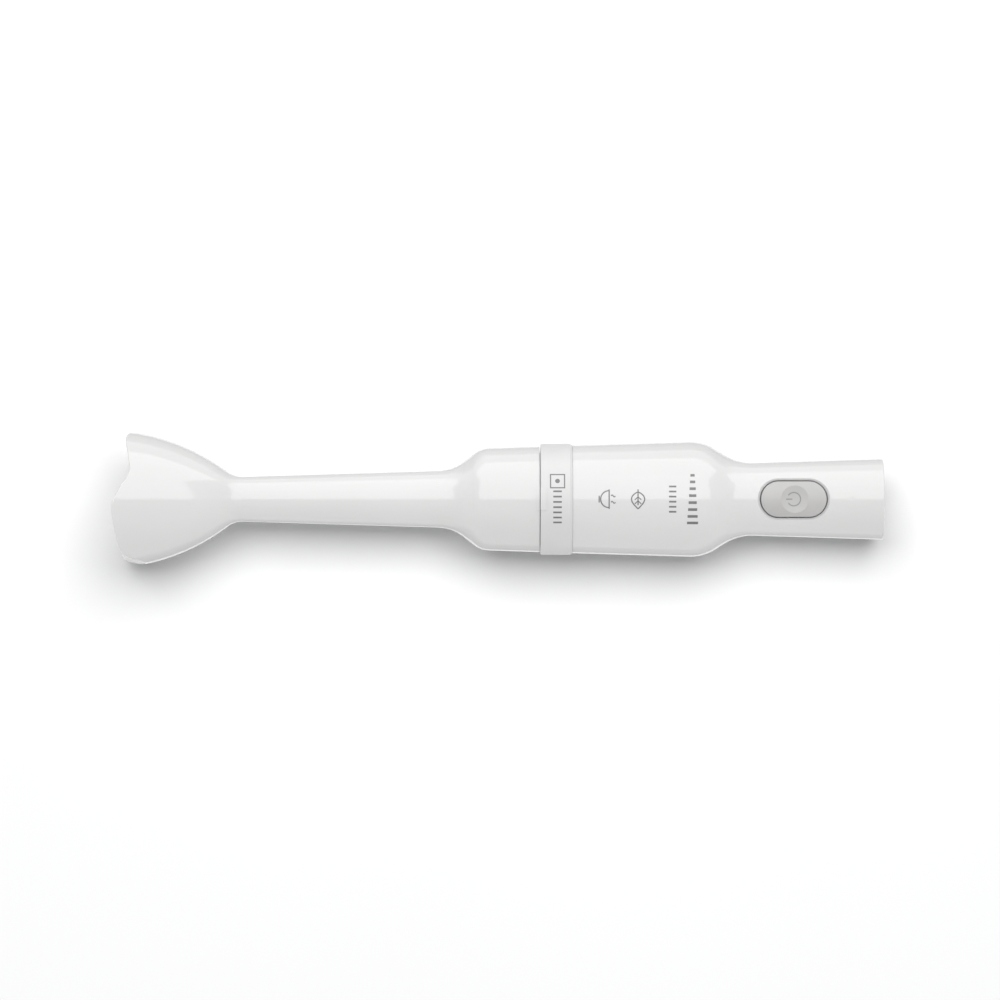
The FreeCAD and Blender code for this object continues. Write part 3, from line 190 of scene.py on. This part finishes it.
def matt_plastic(name, pale, dark, rough, grain_scale=1500, grain=0.35):
    """Spark-eroded satin plastic."""
    material, nodes, links, shader = new_material(name)
    cloud = object_noise(nodes, links, 60, 3, 0.5)
    links.new(ramp(nodes, links, cloud, [(0.3, dark), (0.7, pale)]), shader.inputs["Base Color"])
    fine = object_noise(nodes, links, grain_scale, 2, 0.6)
    links.new(scaled(nodes, links, fine, rough - 0.06, rough + 0.08), shader.inputs["Roughness"])
    shader.inputs["IOR"].default_value = 1.5
    bump(nodes, links, shader, [(fine, grain, 0.00006)])
    return material


def metal(name, pale, dark, rough, stretch=(1, 1, 1), scale=900):
    """Bare metal with a machined or drawn grain along stretch's long direction."""
    material, nodes, links, shader = new_material(name)
    grain = object_noise(nodes, links, scale, 3, 0.6, stretch)
    links.new(ramp(nodes, links, grain, [(0.3, dark), (0.7, pale)]), shader.inputs["Base Color"])
    links.new(scaled(nodes, links, grain, rough - 0.07, rough + 0.1), shader.inputs["Roughness"])
    shader.inputs["Metallic"].default_value = 1.0
    bump(nodes, links, shader, [(grain, 0.12, 0.00005)])
    return material


def rubber(name, pale, dark):
    """Dull elastomer or flexible sleeve."""
    material, nodes, links, shader = new_material(name)
    cloud = object_noise(nodes, links, 300, 4, 0.6)
    links.new(ramp(nodes, links, cloud, [(0.3, dark), (0.7, pale)]), shader.inputs["Base Color"])
    links.new(scaled(nodes, links, cloud, 0.5, 0.75), shader.inputs["Roughness"])
    bump(nodes, links, shader, [(cloud, 0.2, 0.00008)])
    return material


def laminations(name):
    """Stack of varnished steel sheets, 0.5 mm each, seen edge on."""
    material, nodes, links, shader = new_material(name)
    place = nodes.new("ShaderNodeTexCoord")
    wave = nodes.new("ShaderNodeTexWave")
    wave.bands_direction = "X"
    wave.inputs["Scale"].default_value = 320
    wave.inputs["Distortion"].default_value = 0.4
    links.new(place.outputs["Object"], wave.inputs["Vector"])
    stops = [(0.2, (0.10, 0.10, 0.11)), (0.8, (0.34, 0.34, 0.36))]
    links.new(ramp(nodes, links, wave.outputs["Fac"], stops), shader.inputs["Base Color"])
    links.new(scaled(nodes, links, wave.outputs["Fac"], 0.55, 0.35), shader.inputs["Roughness"])
    shader.inputs["Metallic"].default_value = 0.8
    bump(nodes, links, shader, [(wave.outputs["Fac"], 0.4, 0.0001)])
    return material


def windings(name):
    """Enamelled copper wire laid side by side."""
    material, nodes, links, shader = new_material(name)
    place = nodes.new("ShaderNodeTexCoord")
    wave = nodes.new("ShaderNodeTexWave")
    wave.bands_direction = "DIAGONAL"
    wave.inputs["Scale"].default_value = 260
    wave.inputs["Distortion"].default_value = 2.5
    wave.inputs["Detail"].default_value = 1
    links.new(place.outputs["Object"], wave.inputs["Vector"])
    stops = [(0.1, (0.20, 0.06, 0.02)), (0.6, (0.62, 0.24, 0.09)), (1.0, (0.85, 0.42, 0.18))]
    links.new(ramp(nodes, links, wave.outputs["Fac"], stops), shader.inputs["Base Color"])
    shader.inputs["Metallic"].default_value = 0.7
    links.new(scaled(nodes, links, wave.outputs["Fac"], 0.45, 0.22), shader.inputs["Roughness"])
    bump(nodes, links, shader, [(wave.outputs["Fac"], 0.7, 0.0002)])
    return material


def ink(name, colour):
    """Pad-printed ink, slightly uneven in cover."""
    material, nodes, links, shader = new_material(name)
    cover = object_noise(nodes, links, 2400, 3, 0.6)
    paler = tuple(min(1, c * 1.25) for c in colour)
    stops = [(0.35, colour), (0.75, paler)]
    links.new(ramp(nodes, links, cover, stops), shader.inputs["Base Color"])
    links.new(scaled(nodes, links, cover, 0.35, 0.5), shader.inputs["Roughness"])
    return material


def grey(value, warm=0.0):
    """Grey, a little warm when asked."""
    return (value * (1 + warm), value, value * (1 - warm))


MATERIALS = {
    "gloss_white": gloss_plastic("gloss_white", grey(0.74, 0.004), grey(0.71, 0.006), 0.09),
    "matt_white": matt_plastic("matt_white", grey(0.70, 0.004), grey(0.67, 0.006), 0.42),
    "button_grey": matt_plastic(
        "button_grey", grey(0.50, 0.015), grey(0.46, 0.012), 0.36, 1900, 0.2
    ),
    "inner_white": matt_plastic("inner_white", grey(0.70, 0.01), grey(0.64, 0.01), 0.45),
    "natural_grey": matt_plastic("natural_grey", grey(0.36), grey(0.30), 0.5),
    "black_plastic": matt_plastic("black_plastic", grey(0.035), grey(0.02), 0.42),
    "carbon": matt_plastic("carbon", grey(0.05), grey(0.025), 0.6, 900, 0.6),
    "soft_black": rubber("soft_black", grey(0.05), grey(0.025)),
    "seal_rubber": rubber("seal_rubber", grey(0.66, 0.01), grey(0.58, 0.01)),
    "stainless": metal("stainless", grey(0.66), grey(0.52), 0.24, (1, 0.1, 1)),
    "bright_steel": metal("bright_steel", grey(0.72), grey(0.60), 0.18, (0.15, 1, 1)),
    "zinc_steel": metal("zinc_steel", (0.62, 0.64, 0.66), (0.48, 0.50, 0.53), 0.32),
    "lamination": laminations("lamination"),
    "copper_winding": windings("copper_winding"),
    "sintered_bronze": metal(
        "sintered_bronze", (0.62, 0.40, 0.20), (0.42, 0.26, 0.12), 0.38, scale=2200
    ),
    "board_green": matt_plastic(
        "board_green", (0.03, 0.22, 0.09), (0.02, 0.15, 0.06), 0.35, 700, 0.2
    ),
    "capacitor_yellow": gloss_plastic(
        "capacitor_yellow", (0.72, 0.50, 0.05), (0.66, 0.44, 0.04), 0.25
    ),
    "ferrite": matt_plastic("ferrite", grey(0.10), grey(0.06), 0.55, 800, 0.5),
    "lead_red": rubber("lead_red", (0.45, 0.03, 0.025), (0.36, 0.02, 0.02)),
}
PRINT_GREY = ink("print_grey", grey(0.16, 0.01))
SYMBOL_GREY = ink("symbol_grey", grey(0.25, 0.01))


def dress_nodes():
    """Gives each CAD node its slot's material."""
    slots = {s["node"]: s["material_slot"] for s in frame["record"]["subparts"]}
    for name, obj in frame["nodes"].items():
        material = MATERIALS[slots[name]]
        if not obj.material_slots:
            obj.data.materials.append(material)
        for slot in obj.material_slots:
            slot.link = "OBJECT"
            slot.material = material


# ================================================================ springs as pieces of their own
def spring_copy(name, node):
    """New piece with a spring's shape and finish, which stands for the rigid node."""
    source = frame["nodes"][node]
    piece = bpy.data.objects.new(name, source.data.copy())
    bpy.context.scene.collection.objects.link(piece)
    piece.matrix_world = source.matrix_world.copy()
    for own, shown in zip(piece.material_slots, source.material_slots):
        own.link = "OBJECT"
        own.material = shown.material
    return piece


def add_springs():
    """Coils between tray and button, left in place, and the latch's leaf, carried by its button."""
    coils = spring_copy("button_coils", "button_springs")
    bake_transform(coils)
    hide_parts("button_springs")
    leaf = spring_copy("latch_leaf", "latch_spring")
    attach(leaf, "release_button")
    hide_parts("latch_spring")


# ================================================================ print on the housing
def skin_point(node, start, direction):
    """Where a ray from outside meets a node."""
    hit, place, _, _ = frame["nodes"][node].ray_cast(start, direction)
    if not hit:
        raise RuntimeError(f"no skin of {node} from {tuple(start)}")
    return place


SKIN_CACHE = {}


def skin_radius(node, x):
    """Distance from the axis to a node's round outer skin."""
    key = (node, round(x, 5))
    if key not in SKIN_CACHE:
        a = math.radians(SKIN_ANGLE)
        out = Vector((0, math.sin(a), math.cos(a)))
        centre = Vector((x, 0, AXIS_Z))
        SKIN_CACHE[key] = (skin_point(node, centre + out * OUTSIDE, -out) - centre).dot(out)
    return SKIN_CACHE[key]


def wrap(node, origin_x, u, v):
    """Point of a flat drawing (u to the handle, v round towards +Y) laid on a node's skin.

    u and v are metres from the point straight up at origin_x.
    """
    x = origin_x + u
    if node == "power_button":
        place = skin_point(node, Vector((x, v, ABOVE)), Vector((0, 0, -1)))
        return place + Vector((0, 0, PRINT_LIFT))
    radius = skin_radius(node, x)
    angle = v / radius
    r = radius + PRINT_LIFT
    return Vector((x, r * math.sin(angle), AXIS_Z + r * math.cos(angle)))


def stroke_quads(points, width, closed):
    """Flat ribbon of quads along (u, v) points, with mitred corners."""
    count = len(points)
    left = []
    right = []
    for i in range(count):
        here = Vector(points[i])
        before = Vector(points[(i - 1) % count]) if closed or i else here
        after = Vector(points[(i + 1) % count]) if closed or i < count - 1 else here
        a = (here - before).normalized() if (here - before).length > 1e-9 else None
        b = (after - here).normalized() if (after - here).length > 1e-9 else None
        direction = ((a or b) + (b or a)).normalized()
        normal = Vector((-direction.y, direction.x))
        bend = (a or b).dot(direction)
        half = width / 2 / max(bend, 0.5)
        left.append(here + normal * half)
        right.append(here - normal * half)
    steps = count if closed else count - 1
    return [
        (left[i], right[i], right[(i + 1) % count], left[(i + 1) % count]) for i in range(steps)
    ]


def finely(points, closed):
    """Points added along straight runs, so that a ribbon follows the curved skin."""
    result = []
    ends = points[1:] + points[:1] if closed else points[1:]
    for a, b in zip(points, ends):
        parts = max(1, round(math.dist(a, b) / PRINT_STEP))
        for i in range(parts):
            t = i / parts
            result.append((a[0] + (b[0] - a[0]) * t, a[1] + (b[1] - a[1]) * t))
    if not closed:
        result.append(points[-1])
    return result


def arc(cu, cv, radius, start, end, steps=40):
    """Points of a circle's arc, degrees from +u towards +v."""
    return [
        (
            cu + radius * math.cos(math.radians(start + (end - start) * i / steps)),
            cv + radius * math.sin(math.radians(start + (end - start) * i / steps)),
        )
        for i in range(steps + 1)
    ]


def print_piece(name, node, body, origin_x, strokes, material):
    """One printed drawing: strokes are (points, width, closed), laid on a node's skin."""
    mesh_data = bmesh.new()
    for points, width, closed in strokes:
        for quad in stroke_quads(finely(points, closed), width, closed):
            corners = [mesh_data.verts.new(wrap(node, origin_x, p.x, p.y)) for p in quad]
            mesh_data.faces.new(corners)
    bmesh.ops.remove_doubles(mesh_data, verts=mesh_data.verts, dist=WELD)
    bmesh.ops.recalc_face_normals(mesh_data, faces=mesh_data.faces)
    if sum(f.normal.z for f in mesh_data.faces) < 0:
        bmesh.ops.reverse_faces(mesh_data, faces=mesh_data.faces)
    mesh = bpy.data.meshes.new(name)
    mesh_data.to_mesh(mesh)
    mesh_data.free()
    obj = bpy.data.objects.new(name, mesh)
    bpy.context.scene.collection.objects.link(obj)
    solid = obj.modifiers.new("ink", "SOLIDIFY")
    solid.thickness = PRINT_THICKNESS
    solid.offset = 0
    obj.data.materials.append(material)
    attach(obj, body)


def bowl_strokes():
    """Steaming bowl, upright when the handle points up: a half-round bowl on a foot, two wisps."""
    rim_u = 1.1 * MM
    r = 4.0 * MM
    foot_u = rim_u - r - 0.7 * MM
    strokes = [
        (arc(rim_u, 0, r, 90, 270), LINE, False),
        ([(rim_u, -r - 0.6 * MM), (rim_u, r + 0.6 * MM)], LINE, False),
        ([(foot_u, -1.6 * MM), (foot_u, 1.6 * MM)], LINE, False),
    ]
    steps = 12
    for v in (-1.5 * MM, 1.5 * MM):
        wisp = []
        for t in range(steps + 1):
            sway = 0.45 * MM * math.sin(2 * math.pi * t / steps)
            wisp.append((rim_u + 0.9 * MM + 2.0 * MM * t / steps, v + sway))
        strokes.append((wisp, LINE * 0.85, False))
    return strokes


def leaf_strokes():
    """Plain pointed leaf lying across the housing, with a midrib and two pairs of veins."""
    length = 8.0 * MM
    belly = 3.1 * MM
    steps = 20
    side = [
        (belly * math.sin(math.pi * (t / steps) ** 0.8), length / 2 - length * t / steps)
        for t in range(steps + 1)
    ]
    other = [(-u, v) for u, v in side]
    strokes = [
        (side, LINE, False),
        (other, LINE, False),
        ([(0, length / 2 + 1.2 * MM), (0, -length * 0.28)], LINE, False),
    ]
    for v in (1.7 * MM, -0.2 * MM):
        for sign in (-1, 1):
            strokes.append(([(0, v), (sign * 1.5 * MM, v - 1.4 * MM)], FINE_LINE, False))
    return strokes


def bar_strokes(count, pitch, shortest, longest, width):
    """Row of plain bars that may grow along the row."""
    strokes = []
    for i in range(count):
        half = (shortest + (longest - shortest) * i / (count - 1)) / 2
        v = ((count - 1) / 2 - i) * pitch
        strokes.append(([(-half, v), (half, v)], width, False))
    return strokes


def square_mark_strokes():
    """Plain square outline round a dot."""
    half = 3.3 * MM
    dot = 1.1 * MM
    return [
        ([(-half, -half), (half, -half), (half, half), (-half, half)], LINE, True),
        (arc(0, 0, dot / 2, 0, 360, 16)[:-1], dot, True),
    ]


def power_strokes():
    """Power symbol, its gap towards the bell."""
    r = 3.15 * MM
    return [
        (arc(0, 0, r, 215, 505, 60), LINE, False),
        ([(-r - 0.5 * MM, 0), (-0.7 * MM, 0)], LINE, False),
    ]


def moved(strokes, v):
    """Strokes shifted round the housing."""
    return [([(a, b + v) for a, b in points], width, closed) for points, width, closed in strokes]


def add_prints():
    """Generic prints on the collar, the motor body and the power button."""
    collar = (COLLAR_LOW[0] + COLLAR_HIGH[0]) / 2 + 0.4 * MM
    body = COLLAR_HIGH[0]
    button = (BUTTON_LOW[0] + BUTTON_HIGH[0]) / 2
    collar_bars = bar_strokes(7, 2.5 * MM, 4.0 * MM, 4.0 * MM, 0.8 * MM)
    small_bars = bar_strokes(6, 2.4 * MM, 3.4 * MM, 3.4 * MM, 0.8 * MM)
    growing_bars = bar_strokes(8, 3.3 * MM, 2.0 * MM, 5.2 * MM, 1.3 * MM)
    # name, node, station along the axis, strokes
    drawings = [
        ("collar_mark", "collar_ring", collar, moved(square_mark_strokes(), 8.7 * MM)),
        ("collar_bars", "collar_ring", collar, moved(collar_bars, -3.8 * MM)),
        ("bowl_symbol", "housing_front", body + 16.0 * MM, bowl_strokes()),
        ("leaf_symbol", "housing_front", body + 30.7 * MM, moved(leaf_strokes(), -0.6 * MM)),
        ("small_bars", "housing_front", body + 47.0 * MM, small_bars),
        ("speed_ramp", "housing_front", body + 56.4 * MM, growing_bars),
    ]
    for name, node, x, strokes in drawings:
        print_piece(name, node, "motor_unit", x, strokes, PRINT_GREY)
    print_piece(
        "power_symbol", "power_button", "power_button", button, power_strokes(), SYMBOL_GREY,
    )


# ================================================================ floor, light, camera
def table_material():
    """White with a barely seen cloudiness."""
    material, nodes, links, shader = new_material("table_white")
    cloud = object_noise(nodes, links, 3, 2, 0.5)
    stops = [(0.3, grey(0.90)), (0.7, grey(0.915))]
    links.new(ramp(nodes, links, cloud, stops), shader.inputs["Base Color"])
    shader.inputs["Roughness"].default_value = 0.65
    return material


def lowest_point(node, stations):
    """(x, z) of a node's lowest point straight under the axis, stations in mm behind the tips."""
    found = []
    for station in stations:
        x = BELL_TIP_X + station * MM
        hit, place, _, _ = frame["nodes"][node].ray_cast(Vector((x, 0, -BELOW)), Vector((0, 0, 1)))
        if hit:
            found.append((place.z, x))
    z, x = min(found)
    return x, z


def add_table():
    """White table, tilted by the small angle at which the blender lies on bell and body."""
    x0, z0 = lowest_point("bar_shell", BELL_STATIONS)
    x1, z1 = lowest_point("housing_back", BODY_STATIONS)
    tilt = math.atan2(z1 - z0, x1 - x0)
    bpy.ops.mesh.primitive_plane_add(size=TABLE_SIZE)
    table = bpy.context.object
    table.name = "table"
    table.rotation_euler = (0, -tilt, 0)
    along = Vector((math.cos(tilt), 0, math.sin(tilt)))
    foot = Vector((x0, 0, z0))
    table.location = foot - along * x0 - Vector((0, 0, TABLE_GAP))
    table.data.materials.append(table_material())
    return table


def add_panel(name, centre, aim, size, radiance, table, for_table=False):
    """Oblong soft light of a given radiance, on the table alone or on all but the table."""
    light = bpy.data.lights.new(name, "AREA")
    light.shape = "RECTANGLE"
    light.size, light.size_y = size
    light.energy = radiance * math.pi * size[0] * size[1]
    lamp = bpy.data.objects.new(name, light)
    bpy.context.scene.collection.objects.link(lamp)
    lamp.location = centre
    lamp.rotation_euler = (Vector(aim) - Vector(centre)).to_track_quat("-Z", "Y").to_euler()
    receivers = bpy.data.collections.new(name + "_receivers")
    receivers.objects.link(table)
    receivers.collection_objects[0].light_linking.link_state = "INCLUDE" if for_table else "EXCLUDE"
    lamp.light_linking.receiver_collection = receivers
    return lamp


def add_lights(table):
    """Even world, soft panels round the blender, and the table's own panel.

    The gloss doesn't see the table: below the horizon it sees the panels' feet, then the dim
    world, then the edge panel.
    """
    world = bpy.data.worlds.new("studio")
    world.use_nodes = True
    background = world.node_tree.nodes["Background"]
    background.inputs["Color"].default_value = (0.98, 0.99, 1.0, 1)
    background.inputs["Strength"].default_value = WORLD_LIGHT
    bpy.context.scene.world = world
    table.visible_glossy = False

    half = ROOM / 2
    size = (PANEL_LENGTH, ROOM)
    add_panel("overhead_panel", (0, half, ROOM), (0, half, 0), size, PANEL_LIGHT, table)
    size = (PANEL_LENGTH, ROOM - SIDE_FOOT)
    middle = (ROOM + SIDE_FOOT) / 2
    add_panel("side_panel", (0, ROOM, middle), (0, 0, middle), size, PANEL_LIGHT, table)

    size = (PANEL_LENGTH, ROOM)
    add_panel("fill_above", (0, -half, ROOM), (0, -half, 0), size, FILL_LIGHT, table)
    size = (PANEL_LENGTH, ROOM - FILL_FOOT)
    middle = (ROOM + FILL_FOOT) / 2
    add_panel("fill_beside", (0, -ROOM, middle), (0, 0, middle), size, FILL_LIGHT, table)

    near = ROOM - SHEEN_STEP
    size = (SHEEN_LENGTH, ROOM)
    above = add_panel("sheen_above", (0, half, near), (0, half, 0), size, SHEEN_LIGHT, table)
    beside = add_panel("sheen_beside", (0, near, half), (0, 0, half), size, SHEEN_LIGHT, table)
    size = (PANEL_LENGTH, 2 * EDGE_DEPTH * math.tan(math.radians(EDGE_ANGLE)))
    below = add_panel("edge_panel", (0, 0, -EDGE_DEPTH), (0, 0, 0), size, EDGE_LIGHT, table)
    for panel in (above, beside, below):
        panel.visible_diffuse = False

    start, end = (ROOM * math.tan(math.radians(angle)) for angle in TABLE_LIGHT_ANGLES)
    middle = (start + end) / 2
    size = (TABLE_LIGHT_LENGTH, end - start)
    place = (0, middle, ROOM)
    lamp = add_panel(
        "table_panel", place, (0, middle, 0), size, TABLE_LIGHT, table, for_table=True
    )
    lamp.visible_glossy = False


def add_camera():
    """Camera straight above, looking down."""
    camera = bpy.data.cameras.new("camera")
    camera.sensor_width = SENSOR
    camera.lens = SENSOR * CAMERA_HEIGHT / VIEW_WIDTH
    camera.clip_start = CLIP_START
    eye = bpy.data.objects.new("camera", camera)
    bpy.context.scene.collection.objects.link(eye)
    eye.location = (*VIEW_CENTRE, AXIS_Z + CAMERA_HEIGHT)
    bpy.context.scene.camera = eye


def main():
    """The whole picture, round the frame."""
    dress_nodes()
    add_springs()
    add_prints()
    table = add_table()
    add_lights(table)
    add_camera()
    bpy.context.scene.view_settings.view_transform = "Standard"


main()
